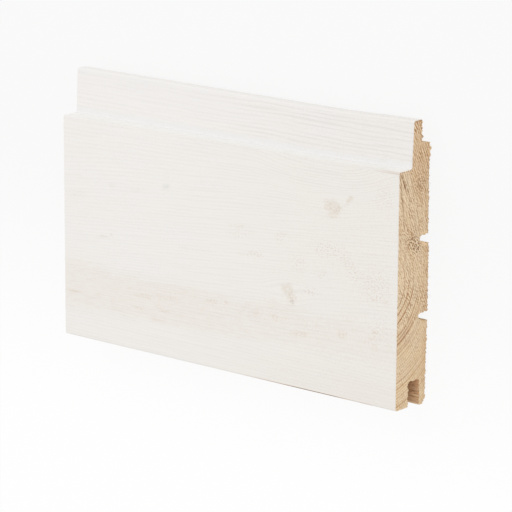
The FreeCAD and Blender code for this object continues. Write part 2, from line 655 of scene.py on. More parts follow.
def board_skin():
    """The whole board as one closed skin, plus its loose fibres."""
    section = FineSection(end_section(BOARD))
    sides = side_points(section)
    sides[0, :, 0] = -half_length - torn_rim(section, -1)
    sides[-1, :, 0] = half_length + torn_rim(section, 1)
    skin = Skin(section, sides)
    skin.add_sides()
    skin.add_end(-1)
    skin.add_end(1)
    skin.add_fibres()
    return skin


def glazed_board(materials):
    """The board as an object, in metres, with its materials, its flat map and its sharp edges."""
    skin = board_skin()
    mesh = bpy.data.meshes.new("glazed_board")
    mesh.from_pydata([[value * MM for value in point] for point in skin.points], [], skin.faces)
    for material in materials:
        mesh.materials.append(material)
    mesh.polygons.foreach_set("material_index", skin.finishes)
    mesh.polygons.foreach_set("use_smooth", [True] * len(skin.faces))
    skin.mark_sharp(mesh)
    layer = mesh.uv_layers.new(name="OFBake")
    flat = [value / skin.map_size for face in skin.flat for place in face for value in place]
    layer.data.foreach_set("uv", flat)
    mesh.validate()
    mesh.update()
    board = bpy.data.objects.new("glazed_board", mesh)
    bpy.context.scene.collection.objects.link(board)
    return board


# Finishes

# Sockets of a Mix node for colours
MIX_SHARE = 0
MIX_FIRST = 6
MIX_SECOND = 7
MIX_RESULT = 2


class Field:
    """A value that varies over a surface: one socket, on which arithmetic adds Math nodes."""

    def __init__(self, tree, socket):
        self.tree = tree
        self.socket = socket

    def node(self, kind, settings, sockets, output=0):
        """A new node beside this one: its settings come first, then its sockets' values or links."""
        node = self.tree.nodes.new(kind)
        for name, value in settings.items():
            if name == "stops":
                set_stops(node.color_ramp, value)
            else:
                setattr(node, name, value)
        for name, value in sockets.items():
            if isinstance(value, Field):
                self.tree.links.new(value.socket, node.inputs[name])
            else:
                node.inputs[name].default_value = value
        return Field(self.tree, node.outputs[output])

    def math(self, operation, *values):
        return self.node("ShaderNodeMath", {"operation": operation}, dict(enumerate(values)))

    def __add__(self, other):
        return self.math("ADD", self, other)

    def __sub__(self, other):
        return self.math("SUBTRACT", self, other)

    def __rsub__(self, other):
        return self.math("SUBTRACT", other, self)

    def __mul__(self, other):
        return self.math("MULTIPLY", self, other)

    def __truediv__(self, other):
        return self.math("DIVIDE", self, other)

    def __pow__(self, other):
        return self.math("POWER", self, other)

    def __abs__(self):
        return self.math("ABSOLUTE", self)

    __radd__ = __add__
    __rmul__ = __mul__

    def sine(self):
        return self.math("SINE", self)


def set_stops(ramp, stops):
    """Gives a colour ramp its stops: (place from 0 to 1, grey level)."""
    while len(ramp.elements) < len(stops):
        ramp.elements.new(0.5)
    for element, (place, _) in zip(ramp.elements, stops):
        element.position = place
    for element, (_, level) in zip(ramp.elements, stops):
        element.color = (level, level, level, 1.0)


def paint(red, green, blue):
    """A colour, given as it looks on a screen from 0 to 255, as Blender takes it."""
    levels = []
    for value in (red, green, blue):
        share = value / 255
        levels.append(share / 12.92 if share <= 0.04045 else ((share + 0.055) / 1.055) ** 2.4)
    return (*levels, 1.0)


def blend(share, first, second):
    """Goes from the first colour to the second as the share goes from 0 to 1."""
    settings = {"data_type": "RGBA", "clamp_factor": True}
    sockets = {MIX_SHARE: share, MIX_FIRST: first, MIX_SECOND: second}
    return share.node("ShaderNodeMix", settings, sockets, MIX_RESULT)


def point_of(x, y, z):
    """A vector from three values."""
    return x.node("ShaderNodeCombineXYZ", {}, {"X": x, "Y": y, "Z": z})


def noise(place, size, detail=2.0, roughness=0.5):
    """Random values about 0, mostly within 0.5, that change over about this size along each axis."""
    point = point_of(*[value / length for value, length in zip(place, size)])
    sockets = {"Vector": point, "Scale": 1.0, "Detail": detail, "Roughness": roughness}
    return 2 * point.node("ShaderNodeTexNoise", {}, sockets) - 1


def mark(point, middle, size, turn=0.0):
    """1 at the middle of a turned oval of this half length and half width, falling to 0 at its edge."""
    sockets = {"Vector": point, "Location": (*middle, 0.0), "Rotation": (0.0, 0.0, math.radians(turn)),
               "Scale": (*size, 1.0)}
    local = point.node("ShaderNodeMapping", {"vector_type": "TEXTURE"}, sockets)
    distance = point.node("ShaderNodeVectorMath", {"operation": "LENGTH"}, {0: local}, "Value")
    return ease(distance, 1.0, 0.0)


def marks(point, kinds):
    """Several marks together, each given as middle, half sizes, turn and strength."""
    return sum(mark(point, middle, size, turn) * strength for middle, size, turn, strength in kinds)


def new_surface(name):
    """A material with its shader, and the place on the board in millimetres as three fields."""
    material = bpy.data.materials.new(name)
    material.use_nodes = True
    shader = material.node_tree.nodes["Principled BSDF"]
    start = Field(material.node_tree, shader.outputs["BSDF"])
    point = start.node("ShaderNodeTexCoord", {}, {}, "Object")
    place = [point.node("ShaderNodeSeparateXYZ", {}, {0: point}, axis) / MM for axis in range(3)]
    return material, shader, place


def cover(shader, color, roughness, relief, relief_depth, specular):
    """Gives a shader its colour, roughness, bump and specular level."""
    links = color.tree.links
    links.new(color.socket, shader.inputs["Base Color"])
    links.new(roughness.socket, shader.inputs["Roughness"])
    sockets = {"Height": relief, "Distance": relief_depth * MM, "Strength": 1.0}
    bump = relief.node("ShaderNodeBump", {}, sockets)
    links.new(bump.socket, shader.inputs["Normal"])
    shader.inputs["Specular IOR Level"].default_value = specular


# White glaze

# Glaze whites: the left and right ones are painted light falling off along the board, the right also a
# little warmer
GLAZE_LIT_LEFT = paint(243, 240, 236)
GLAZE_SHADED_RIGHT = paint(241, 237, 231)
GLAZE_COOL = paint(238, 237, 240)
GLAZE_WARM = paint(231, 219, 202)
# Painted light on the foot of the shoulder and up the shoulder
FOOT_PAINTED_LIGHT = paint(240, 239, 238)
SHOULDER_PAINTED_LIGHT = paint(244, 243, 240)
# Painted shade on the tongue's tip and the shoulder's arris
EDGE_PAINTED_SHADE = paint(226, 223, 219)
GRAIN_LINE = paint(212, 206, 201)
BROWN_SHOW = paint(203, 176, 146)
KNOT_TAN = paint(213, 198, 174)
KNOT_DARK = paint(150, 128, 104)
SPOT_GREY = paint(214, 213, 203)
WORN_EDGE = paint(178, 130, 80)
WORN_CORE = paint(112, 80, 52)

# Its gloss and bump
GLAZE_ROUGHNESS = 0.52
ROUGHER_LINES = 0.10
ROUGHER_STREAKS = 0.12
GLAZE_SPECULAR = 0.35
GLAZE_BUMP = 0.05
LINE_BUMP = 0.6
FIBRE_BUMP = 0.3
SPECK_BUMP = 0.5

# Sizes of its patterns: along the grain, across it and up the shoulder
LINE_SWAY_SIZE = (45, 7, 7)
FINE_LINES = (22, 0.72, 0.72)
BROAD_LINES = (120, 3.0, 3.0)
GLAZE_PATCHES = (30, 14, 14)
GLAZE_FIBRES = (4.0, 0.28, 0.3)
GLAZE_BLOTCHES = (5.0, 1.6, 1.6)
GLAZE_SPECKS = (0.95, 0.55, 1.0)
KNOT_MOTTLE = (1.1, 0.9, 1.0)

# Grain lines: their spacing, where they are strong and how strong they are there
LINE_SPACING = 1.45
WIDER_ON_TONGUE = 0.4
LINE_SWAY = 5
RIPPLE_SHARE = 0.45
BROAD_SHARE = 0.1
LINE_RANGE = (-0.2, 0.7)
ON_TONGUE = (40.0, 42.0)
TONGUE_LINES = (39.0, 43.0)
TONGUE_LINES_ALONG = (-20.0, 30.0)
SHOULDER_LINES_RISE = (26.0, 33.0)
SHOULDER_LINES_FALL = (41.0, 39.0)
SHOULDER_LINES_ALONG = (5.0, 45.0)
LINES_TO_RIGHT = (-50.0, 40.0)
LEAST_LINES = 0.26
MORE_TO_RIGHT = 0.1
MORE_ON_TONGUE = 0.36
MORE_BY_SHOULDER = 0.24
MORE_IN_BAND = 0.06
LINE_DEPTH = 0.36

# Tint: painted light that falls off along the board, and tint that changes in patches, in a warm band across
# the face and by the lip
LIGHT_FALLOFF_ALONG = (-60.0, 85.0)
LEFT_SIDE = (60.0, -40.0)
COOL_PATCHES = (-0.3, 0.4)
COOL_SHARE = 0.15
COOL_ON_TONGUE = 0.2
BAND_TOP = (-21.0, -28.0)
BAND_BOTTOM = (-44.0, -37.0)
BAND_TOP_SWAY = 4
BAND_BOTTOM_SWAY = 3
BAND_LOWER_TO_LEFT = 5
BAND_WARMTH = 0.08
BAND_WARMTH_LEFT = 0.12
BAND_BLOTCHES = (-0.2, 0.4)
BAND_BLOTCH_WARMTH = 0.12
BY_LIP = (-42.0, -56.0)
LIP_WARMTH = 0.1
LIP_LESS_TO_LEFT = 0.06
FACE_BLOTCHES = (0.0, 0.5)
FACE_BLOTCH_WARMTH = 0.08

# Shoulder and tongue: distances past the shoulder, and heights, of the painted light on the shoulder and the
# painted shade on the tip and the arris
TIP_PAST_SHOULDER = (18.5, 19.2)
ARRIS_RISE = (-1.0, -0.5)
ARRIS_FALL = (0.6, 0.1)
ARRIS_UP = (19.6, 20.4)
SHOULDER_LIGHT_OUT = 3.4
SHOULDER_LIGHT_UP = 8.0
SHOULDER_LIGHT_RANGE = (1.2, 0.3)
FOOT_TO_SHOULDER = (13.0, 14.2)
TIP_SHADE = 0.15
ARRIS_SHADE = 0.22
SHOULDER_LIGHT_HIDES_LINES = 0.85

# Brown marks along the grain where the glaze is thin: middle, half length and width, strength
STREAKS = (
    ((-85.0, 5.5), (8.0, 3.0), 0.22), ((-79.0, -1.5), (5.5, 1.4), 0.2), ((-69.0, -11.2), (7.5, 1.5), 0.32),
    ((-63.5, 13.0), (4.0, 1.5), 0.2), ((-48.5, 13.4), (8.0, 1.5), 0.2), ((9.0, 5.8), (9.5, 1.5), 0.2),
    ((31.0, 6.4), (4.5, 1.4), 0.26), ((-17.0, -8.2), (22.0, 1.0), 0.18), ((14.0, -5.4), (9.0, 1.3), 0.22),
    ((-86.0, -38.8), (6.5, 1.8), 0.5), ((-73.0, -39.5), (3.5, 3.6), 0.22),
    ((-45.0, -34.0), (10.0, 2.0), 0.35), ((-31.0, -32.2), (9.0, 2.0), 0.32),
    ((-34.5, -38.6), (5.0, 2.0), 0.45), ((-48.0, -39.8), (6.0, 2.0), 0.4), ((-6.0, -29.6), (6.5, 1.7), 0.4),
    ((1.4, -28.6), (1.5, 1.1), 0.7), ((15.0, -31.0), (9.0, 3.0), 0.17), ((28.0, -30.3), (3.0, 1.8), 0.4),
    ((41.0, -35.4), (7.5, 1.7), 0.42), ((80.8, -28.0), (2.1, 1.6), 0.7), ((64.0, -31.2), (3.8, 2.2), 0.4),
    ((-38.0, -43.4), (7.0, 1.8), 0.4), ((-64.0, -9.4), (1.2, 0.9), 0.5), ((85.8, -14.3), (3.0, 1.8), 0.35),
    ((79.6, -13.7), (3.0, 1.6), 0.35), ((79.5, -32.8), (6.5, 2.2), 0.28),
)
STREAK_SPECKS = 0.9
STREAK_RANGE = (-0.5, 0.5)
STREAK_DEPTH = 0.62

# Places where the planer tore the grain into small specks: middle, half sizes, turn, strength
TORN = (
    ((40.0, -5.0), (7.0, 4.5), 20.0, 0.8), ((57.0, 3.2), (14.0, 6.0), 0.0, 0.9),
    ((68.0, -3.0), (9.0, 5.0), -40.0, 1.0), ((80.0, -8.0), (13.0, 11.0), 0.0, 0.9),
    ((47.0, -16.0), (8.0, 3.2), 10.0, 0.8), ((85.0, 30.0), (8.0, 10.0), 0.0, 0.6),
    ((9.0, 3.0), (11.0, 4.5), 8.0, 0.5), ((30.5, 4.5), (5.0, 3.6), 0.0, 0.5),
    ((17.0, -5.0), (11.0, 3.0), 5.0, 0.6), ((84.0, -25.0), (9.0, 9.0), 0.0, 0.5),
    ((53.0, -8.0), (7.0, 4.0), 0.0, 0.5), ((-10.0, -30.0), (90.0, 10.0), 0.0, 0.2),
)
LEAST_TORN = 0.12
TORN_TO_RIGHT = (0.0, 60.0)
MORE_TORN_TO_RIGHT = 0.12
SPECK_RANGE = (0.0, 0.4)
SPECK_DEPTH = 0.4

# Knots, their dark cores and a grey spot: middle, half sizes, turn, strength
KNOTS = (
    (BIG_KNOT, (7.0, 5.6), 12.0, 1.0),
    ((66.4, 25.8), (5.0, 2.0), 52.0, 0.8),
    ((55.6, 22.8), (5.5, 4.5), 0.0, 0.6),
    (LONG_KNOT, (9.0, 6.0), -58.0, 0.8),
)
KNOT_CORES = (
    ((60.2, 21.2), (3.4, 3.0), 0.0, 0.3),
    ((37.2, -21.9), (2.6, 1.8), -52.0, 0.75),
    ((35.6, -18.2), (4.2, 2.4), -58.0, 0.25),
)
GREY_SPOT = ((-32.3, 16.8), (4.0, 2.0), 15.0)
MOTTLE_RANGE = (-0.3, 0.35)
KNOT_BLOTCHES = 0.7
KNOT_RANGE = (0.15, 0.8)
CORE_RANGE = (0.05, 1.0)
KNOT_SHARES = (0.1, 0.36)
CORE_SHARES = (0.15, 0.5)
SPOT_SHARES = (0.15, 0.4)

# Worn edges: the right end's, the front lip's and the shoulder's, and thin glaze under the lip
END_WEAR = 0.1
END_WEAR_ALONG = (-0.6, -0.1)
END_WEAR_FRAY = 0.5
LIP_WEAR = 0.95
LIP_WEAR_ACROSS = (-58.75, -59.2)
LIP_WEAR_UP = (19.7, 20.2)
LIP_WEAR_LINES = 0.9
LIP_WEAR_FRAY = 0.5
LIP_LONG_RISE = (2.0, 38.0)
LIP_LONG_FALL = (78.0, 58.0)
LIP_SHORT_SHARE = 0.5
LIP_SHORT_RISE = (71.0, 74.0)
LIP_SHORT_FALL = (81.0, 78.0)
LIP_CORE = 0.8
LIP_CORE_RISE = (30.0, 42.0)
LIP_CORE_FALL = (66.0, 58.0)
SHOULDER_WEAR = 0.2
SHOULDER_WEAR_ACROSS = (40.0, 40.5)
SHOULDER_WEAR_UP = (20.2, 20.6)
SHOULDER_WEAR_ALONG = (74.0, 90.0)
UNDER_LIP_UP = (19.5, 14.0)
UNDER_LIP_ACROSS = (-58.0, -59.0)
UNDER_LIP_SHARE = 0.5


def warm_band(x, y, patches):
    """The warm band across the lower part of the face."""
    top = ease(y + BAND_TOP_SWAY * patches, *BAND_TOP)
    lowered = BAND_LOWER_TO_LEFT * ease(x, *LEFT_SIDE)
    return top * ease(y + BAND_BOTTOM_SWAY * patches + lowered, *BAND_BOTTOM)


def grain_lines(place, along_grain, fine, band):
    """Lines of the brushed grain, stronger on the tongue, by the shoulder and to the right."""
    x, y, _ = place
    height = along_grain[1]
    spacing = LINE_SPACING + WIDER_ON_TONGUE * ease(y, *ON_TONGUE)
    phase = (height * math.tau) / spacing + LINE_SWAY * noise(along_grain, LINE_SWAY_SIZE, 1.0)
    broad = noise(along_grain, BROAD_LINES, 1.0)
    lines = ease(RIPPLE_SHARE * phase.sine() + fine + BROAD_SHARE * broad, *LINE_RANGE)
    on_tongue = ease(y, *TONGUE_LINES) * ease(x, *TONGUE_LINES_ALONG)
    by_shoulder = between(y, SHOULDER_LINES_RISE, SHOULDER_LINES_FALL) * ease(x, *SHOULDER_LINES_ALONG)
    strength = LEAST_LINES + MORE_TO_RIGHT * ease(x, *LINES_TO_RIGHT) + MORE_IN_BAND * band
    strength = strength + MORE_ON_TONGUE * on_tongue + MORE_BY_SHOULDER * by_shoulder
    return lines * strength


def glaze_tint(place, patches, blotches, band):
    """Colour of the glaze: painted light falling off towards the right, and a tint cooler in patches and on
    the tongue, warmer in the band and by the lip.
    """
    x, y, _ = place
    on_tongue = ease(y, *ON_TONGUE)
    left_side = ease(x, *LEFT_SIDE)
    # Painted light: the glaze is brighter at the left end and darker to the right
    color = blend(ease(x, *LIGHT_FALLOFF_ALONG), GLAZE_LIT_LEFT, GLAZE_SHADED_RIGHT)
    cool = ease(patches, *COOL_PATCHES) * COOL_SHARE + COOL_ON_TONGUE * on_tongue
    color = blend(cool, color, GLAZE_COOL)
    in_blotches = BAND_BLOTCH_WARMTH * ease(blotches, *BAND_BLOTCHES)
    warmth = band * (BAND_WARMTH + BAND_WARMTH_LEFT * left_side + in_blotches)
    warmth = warmth + ease(y, *BY_LIP) * (LIP_WARMTH - LIP_LESS_TO_LEFT * left_side)
    warmth = warmth + FACE_BLOTCH_WARMTH * ease(blotches, *FACE_BLOTCHES) * (1 - on_tongue)
    return blend(warmth, color, GLAZE_WARM)


def painted_shoulder_light(past_shoulder, z):
    """Painted light in the foot of the shoulder and up it."""
    out = past_shoulder / SHOULDER_LIGHT_OUT
    up = (z - REBATE_Z) / SHOULDER_LIGHT_UP
    return ease(out * out + up * up, *SHOULDER_LIGHT_RANGE)


def thin_streaks(on_grain, blotches, specks):
    """Brown marks along the grain lines, broken up into blotches."""
    kinds = []
    for (x, y), size, strength in STREAKS:
        height = float(grain_height(np.array(x), np.array(y)))
        kinds.append(((x, height), size, 0.0, strength))
    return marks(on_grain, kinds) * ease(blotches + STREAK_SPECKS * specks, *STREAK_RANGE)


def knots_show(color, place, on_face, blotches):
    """The glaze with the knots, their dark cores and a grey spot showing through."""
    mottle = ease(noise(place, KNOT_MOTTLE), *MOTTLE_RANGE)
    knots = ease(marks(on_face, KNOTS) + KNOT_BLOTCHES * blotches, *KNOT_RANGE)
    cores = ease(marks(on_face, KNOT_CORES), *CORE_RANGE)
    spot = mark(on_face, *GREY_SPOT)
    for shape, (even, mottled), shade in (
            (knots, KNOT_SHARES, KNOT_TAN), (cores, CORE_SHARES, KNOT_DARK), (spot, SPOT_SHARES, SPOT_GREY)):
        color = blend(shape * (even + mottled * mottle), color, shade)
    return color


def worn_edges(color, place, fine, fibres):
    """The glaze with its edges worn down to the wood."""
    x, y, z = place
    end_wear = ease(x + END_WEAR_FRAY * fibres - half_length, *END_WEAR_ALONG)
    frayed_z = z + LIP_WEAR_LINES * fine + LIP_WEAR_FRAY * fibres
    long_wear = between(x, LIP_LONG_RISE, LIP_LONG_FALL)
    short_wear = LIP_SHORT_SHARE * between(x, LIP_SHORT_RISE, LIP_SHORT_FALL)
    lip_wear = ease(y, *LIP_WEAR_ACROSS) * ease(frayed_z, *LIP_WEAR_UP) * (long_wear + short_wear)
    lip_core = lip_wear * between(x, LIP_CORE_RISE, LIP_CORE_FALL)
    shoulder_wear = ease(y, *SHOULDER_WEAR_ACROSS) * ease(z, *SHOULDER_WEAR_UP)
    shoulder_wear = shoulder_wear * ease(x, *SHOULDER_WEAR_ALONG)
    wear = END_WEAR * end_wear + LIP_WEAR * lip_wear + SHOULDER_WEAR * shoulder_wear
    color = blend(at_most(wear, 1.0), color, WORN_EDGE)
    color = blend(LIP_CORE * lip_core, color, WORN_CORE)
    under_lip = ease(z, *UNDER_LIP_UP) * ease(y, *UNDER_LIP_ACROSS)
    return blend(under_lip * at_least(UNDER_LIP_SHARE + fine, 0.0), color, BROWN_SHOW)


def white_glaze():
    """Thin white glaze that lets grain lines, knots and a warm band of the wood show faintly."""
    material, shader, place = new_surface("white_glaze")
    x, y, z = place
    along_grain = (x, grain_height(x, y), z)
    on_grain = point_of(x, along_grain[1], 0.0)
    on_face = point_of(x, y, 0.0)
    fine = noise(along_grain, FINE_LINES, 1.0)
    fibres = noise(along_grain, GLAZE_FIBRES, 1.0)
    patches = noise(place, GLAZE_PATCHES)
    blotches = noise(along_grain, GLAZE_BLOTCHES, 3.0, 0.6)
    specks = noise(along_grain, GLAZE_SPECKS, 1.0)

    band = warm_band(x, y, patches)
    color = glaze_tint(place, patches, blotches, band)
    past_shoulder = y - SHOULDER_Y - END_SWELL * swelling(x)
    at_tip = ease(past_shoulder, *TIP_PAST_SHOULDER)
    arris = between(past_shoulder, ARRIS_RISE, ARRIS_FALL) * ease(z, *ARRIS_UP)
    # Painted light on the shoulder and in its foot, under which the grain lines fade
    shoulder_light = painted_shoulder_light(past_shoulder, z)
    color = blend(shoulder_light, color, blend(ease(z, *FOOT_TO_SHOULDER), FOOT_PAINTED_LIGHT, SHOULDER_PAINTED_LIGHT))
    # Painted shade on the rounded tip of the tongue and on the shoulder's arris
    color = blend(TIP_SHADE * at_tip + ARRIS_SHADE * arris, color, EDGE_PAINTED_SHADE)
    lines = grain_lines(place, along_grain, fine, band) * LINE_DEPTH
    color = blend(lines * (1 - SHOULDER_LIGHT_HIDES_LINES * shoulder_light) * (1 - at_tip), color, GRAIN_LINE)

    streaks = thin_streaks(on_grain, blotches, specks)
    color = blend(streaks * STREAK_DEPTH, color, BROWN_SHOW)
    torn = marks(on_face, TORN) + LEAST_TORN + MORE_TORN_TO_RIGHT * ease(x, *TORN_TO_RIGHT)
    torn = at_most(torn, 1.0)
    torn_specks = torn * ease(specks, *SPECK_RANGE) * SPECK_DEPTH
    color = blend(torn_specks * (1 - at_tip), color, BROWN_SHOW)
    color = knots_show(color, place, on_face, blotches)
    color = worn_edges(color, place, fine, fibres)

    roughness = GLAZE_ROUGHNESS + ROUGHER_LINES * fine + ROUGHER_STREAKS * streaks
    relief = LINE_BUMP * fine + FIBRE_BUMP * fibres + SPECK_BUMP * torn * specks
    cover(shader, color, roughness, relief, GLAZE_BUMP, GLAZE_SPECULAR)
    return material


# Wood

WOOD_PALE = paint(244, 224, 193)
WOOD_GOLD = paint(233, 206, 168)
WOOD_WARM = paint(208, 164, 118)
WOOD_LATE = paint(168, 124, 82)
WOOD_GREY = paint(226, 211, 190)
RING_BROWN = paint(164, 112, 68)
WOOD_PORE = paint(118, 70, 34)
# Painted light on the relief cuts' walls, in the yellow of fresh-cut wood
CUT_PAINTED_LIGHT = paint(248, 218, 164)
RIM_GOLD_AND_LIGHT = paint(250, 221, 181)
# Painted shade of the deep groove: brown, and darker away from the ends
GROOVE_SHADE_BROWN = paint(226, 182, 138)
GROOVE_PAINTED_SHADE = paint(112, 74, 44)

# Gloss and bump of the sawn ends and of the bare long grain
WOOD_BUMP = 0.12
END_ROUGHNESS = 0.78
ROUGHER_GRIT = 0.1
END_SPECULAR = 0.2
GRIT_BUMP = 0.3
SAW_BUMP = 0.1
PORE_BUMP = 0.3
BARE_ROUGHNESS = 0.7
ROUGHER_GRAIN = 0.1
BARE_SPECULAR = 0.25
BARE_BUMP = 0.5

# Main growth rings: radius and depth of their late wood, which deepens slowly and ends sharply
RINGS = (
    (14.0, 0.75), (16.9, 0.9), (20.1, 1.0), (22.1, 0.22), (24.9, 0.7), (26.6, 0.4), (28.2, 0.7),
    (30.9, 0.4), (32.1, 0.5), (34.0, 0.15), (38.0, 0.12), (43.7, 0.42), (46.3, 0.36), (50.0, 0.25),
    (53.7, 0.5),
)
FIRST_RADIUS = 8.0
LAST_RADIUS = 60.0
RING_RISE = 0.8
RING_FALL = 0.25
RINGS_IN_RAMP = 8

# Zones of the sawn ends, across the board
END_TONGUE = (38.0, 46.0)
END_UPPER = (-2.0, 14.0)
END_LOWER = (-26.0, -36.0)

# The left end: where it is along the board, and how far its rings and tears are shifted
LEFT_END = (10.0, -10.0)
LEFT_RING_SHIFT = 2.8
LEFT_TEAR_SHIFT = 17.0

# Rings of the sawn ends: wobble, a step inside the small ones, and where the late wood is faint
RING_WOBBLE = 0.4
WOBBLE_SIZE = (12, 12, 12)
RING_STEP = 1.1
STEP_ACROSS = (-20.0, -11.0)
STEP_WITHIN = (26.0, 20.0)
LATE_PATCHES = (3.0, 3.0, 3.0)
LATE_SHARES = (0.95, 0.5)
LATE_UP = (4.0, 14.0)
LATE_UP_SHARES = (0.6, 0.5)
LATE_FADES = (-14.0, 0.0)
LATE_FADE = 0.68
LATE_FADES_AGAIN = (4.0, 14.0)
LATE_FADE_AGAIN = 0.22
LATE_DEPTH = 1.2
DENSE_RISE = (24.0, 26.5)
DENSE_FALL = (30.0, 28.5)
DENSE_ACROSS = (-16.0, -24.0)
DENSE_UP = (6.0, 13.0)
DENSE_DEPTH = 0.2

# Fine rings, and straight layers above the middle of the rings
FINE_RING_SPACING = 1.24
FINE_RING_SWAY = 3
FINE_RING_SWAY_SIZE = (7, 7, 7)
FINE_RING_RANGE = (-0.5, 1.0)
FINE_RING_DEPTH = 0.18
FINER_ON_TONGUE = 0.1
FINER_BELOW = 0.06
LAYERS_A_MM = (0.05, -0.37)
LAYER_SWAY = 5
LAYER_SWAY_SIZE = (16, 5, 16)
LAYER_RANGE = (-0.2, 1.0)
LAYER_DEPTH = 0.22
LAYERS_FROM = (-10.0, 12.0)

# Ground colour of the sawn ends; warm places are middle, half sizes, turn and strength
BROAD_RINGS = (3.0, 25, 30)
GOLD_RANGE = (-0.3, 0.35)
LEAST_GOLD = 0.2
GOLD_SHARE = 0.5
GOLD_BELOW = 0.4
GREY_PATCHES = (9, 6, 9)
GREY_RANGE = (-0.1, 0.3)
GREY_UP = (3.0, 8.0)
GREY_SHARE = 0.25
BY_BACK = (4.0, 0.5)
BY_BACK_SWAY = 3
WARM_ON_TONGUE = 0.3
WARM_BY_BACK = 0.15
WARM_PLACES = (((37.0, 6.5), (15.0, 8.0), 0.0, 0.38), ((9.0, 2.5), (7.0, 5.5), 0.0, 0.3))
MOST_WARM = 0.8

# Saw marks: waves a millimetre across and up, and strokes of grit along a leaning direction
SAW_WAVES_A_MM = (0.37, -0.73)
SAW_SWAY = 4
SAW_SWAY_SIZE = (4, 4, 5)
STROKE = (0.55, 0.84)
GRIT_SIZE = (1.7, 0.55, 1.0)
SAW_SHARES = (0.6, 0.4)
SAW_STRONGER = (24.0, 34.0)
GRIT_SHARE = 2.2
HATCH_DARK = (-0.3, 1.0)
HATCH_PALE = (-0.3, -1.0)
HATCH_DEPTH = 0.5
HATCH_DEEPER_ON_TONGUE = 0.16
HATCH_PALE_DEPTH = 0.45
ROUGH_PATCHES = (6, 5, 1.0)
ROUGH_RANGE = (-0.3, 0.3)
ROUGH_SHARES = (0.55, 0.9)
SMOOTHER_BELOW = (-20.0, -29.0)
SMOOTHER_SHARE = 0.5

# Torn pores, cracks, golden rims and painted light on a splinter of the sawn ends: middle, half sizes, turn,
# strength
TEARS = (((9.7, 10.0), (10.0, 5.0), 58.0, 1.3), ((34.0, 7.2), (7.0, 6.0), 0.0, 0.7))
CRACKS = (
    ((36.2, 17.9), (7.0, 0.9), 25.0, 1.0),
    ((34.0, 15.4), (7.0, 0.8), 17.0, 0.5),
    ((31.0, 19.1), (18.0, 0.7), 9.0, 0.5),
)
TEAR_DIRECTION = (0.75, 0.66)
TEAR_CELL = (0.9, 1.3)
TEAR_RANDOMNESS = 0.8
TEAR_DOTS = (0.45, 0.15)
TEAR_PALE = (0.5, 0.75)
TEAR_PATCHES = (7, 7, 1.0)
TEAR_RANGE = (0.1, 0.5)
TEAR_ABOVE = 0.1
TEAR_SHARE = 0.15
MOST_TORN = 0.85
TEAR_PALE_DEPTH = 0.6
CRACK_PATCHES = (1.3, 1.3, 1.0)
CRACK_SHARES = (0.8, 1.6)
MOST_CRACKED = 0.75
# Pale gold marks by the upper relief cut; the last is painted light on the back splinter, whose end faces
# away from the lamps
GOLD_RIMS_AND_LIGHT = (
    ((12.9, 2.5), (1.4, 4.5), 0.0, 0.5),
    ((8.5, 3.1), (4.5, 1.6), 73.8, 0.8),
    ((47.4, 0.4), (4.5, 1.8), 0.0, 0.7),
)
MOST_GOLD = 0.7
DARK_TIP = (59.6, 60.6)
DARK_TIP_FRAY = 0.6
DARK_TIP_DEPTH = 0.5

# Bare long grain: its patterns along, across and up, and how deep they show
BARE_BEND = 1.2
BARE_BEND_SIZE = (60, 20, 20)
BARE_RUN_OUT = 0.015
BARE_LATE = 0.45
BARE_FINE = (40, 0.6, 0.6)
BARE_FINE_RANGE = (0.0, 0.6)
BARE_FINE_DEPTH = 0.4
BARE_FIBRES = (3.0, 0.3, 0.3)
BARE_FIBRE_RANGE = (0.25, 0.6)
BARE_FIBRE_DEPTH = 0.3
BARE_PATCHES = (25, 9, 9)
BARE_PATCH_RANGE = (-0.4, 0.4)
BACK_SAW_MARKS = (0.9, 30, 1.0)
BACK_SAW_RANGE = (0.1, 0.5)
BACK_SAW_DEPTH = 0.3
ROUGH_BACK = (1.2, 0.4)

# Relief cuts and groove: where they are, and how much painted light the cuts' walls and painted shade the
# groove take
CUT_UP_RISE = (0.6, 1.6)
CUT_UP_FALL = (7.0, 6.4)
CUT_ACROSS_RISE = (-26.5, -25.0)
CUT_ACROSS_FALL = (14.5, 13.5)
CUT_LIGHT_SHARE = 0.9
GROOVE_RISE = (-61.0, -59.0)
GROOVE_FALL = (-47.0, -48.5)
GROOVE_UP = (4.4, 4.9)
GROOVE_SHARES = (0.95, 0.3)
GROOVE_SHADE_DEEP = (-1.0, 6.0)
GROOVE_FRAY = 3
GROOVE_SHADE_DEPTH = 0.48
GROOVE_LINES = 0.35
GROOVE_LINE_RANGE = (0.0, 0.5)


def late_wood(radius):
    """Dark late wood of the main rings, from colour ramps over the radius."""
    reach = LAST_RADIUS - FIRST_RADIUS
    share = (radius - FIRST_RADIUS) / reach
    late = 0.0
    for first in range(0, len(RINGS), RINGS_IN_RAMP):
        stops = []
        for ring, level in RINGS[first:first + RINGS_IN_RAMP]:
            for place, shade in ((ring - RING_RISE, 0.0), (ring, level), (ring + RING_FALL, 0.0)):
                stops.append(((place - FIRST_RADIUS) / reach, shade))
        late = radius.node("ShaderNodeValToRGB", {"stops": sorted(stops)}, {"Fac": share}) + late
    return late


def end_ground(place, radius, wobble):
    """Ground colour of a sawn end: pale and gold rings, grey patches and warm places."""
    y, z, x = place
    tongue = ease(y, *END_TONGUE)
    broad = noise((radius, y, x), BROAD_RINGS, 1.0)
    gold = LEAST_GOLD + GOLD_SHARE * ease(broad, *GOLD_RANGE) + GOLD_BELOW * ease(y, *END_LOWER)
    color = blend(gold, WOOD_PALE, WOOD_GOLD)
    grey = ease(noise(place, GREY_PATCHES), *GREY_RANGE) * ease(z, *GREY_UP) * (1 - tongue)
    color = blend(grey * GREY_SHARE, color, WOOD_GREY)
    by_back = ease(z + BY_BACK_SWAY * wobble, *BY_BACK)
    warm = WARM_ON_TONGUE * tongue + WARM_BY_BACK * by_back + marks(point_of(y, z, 0.0), WARM_PLACES)
    return blend(at_most(warm, MOST_WARM), color, WOOD_WARM)


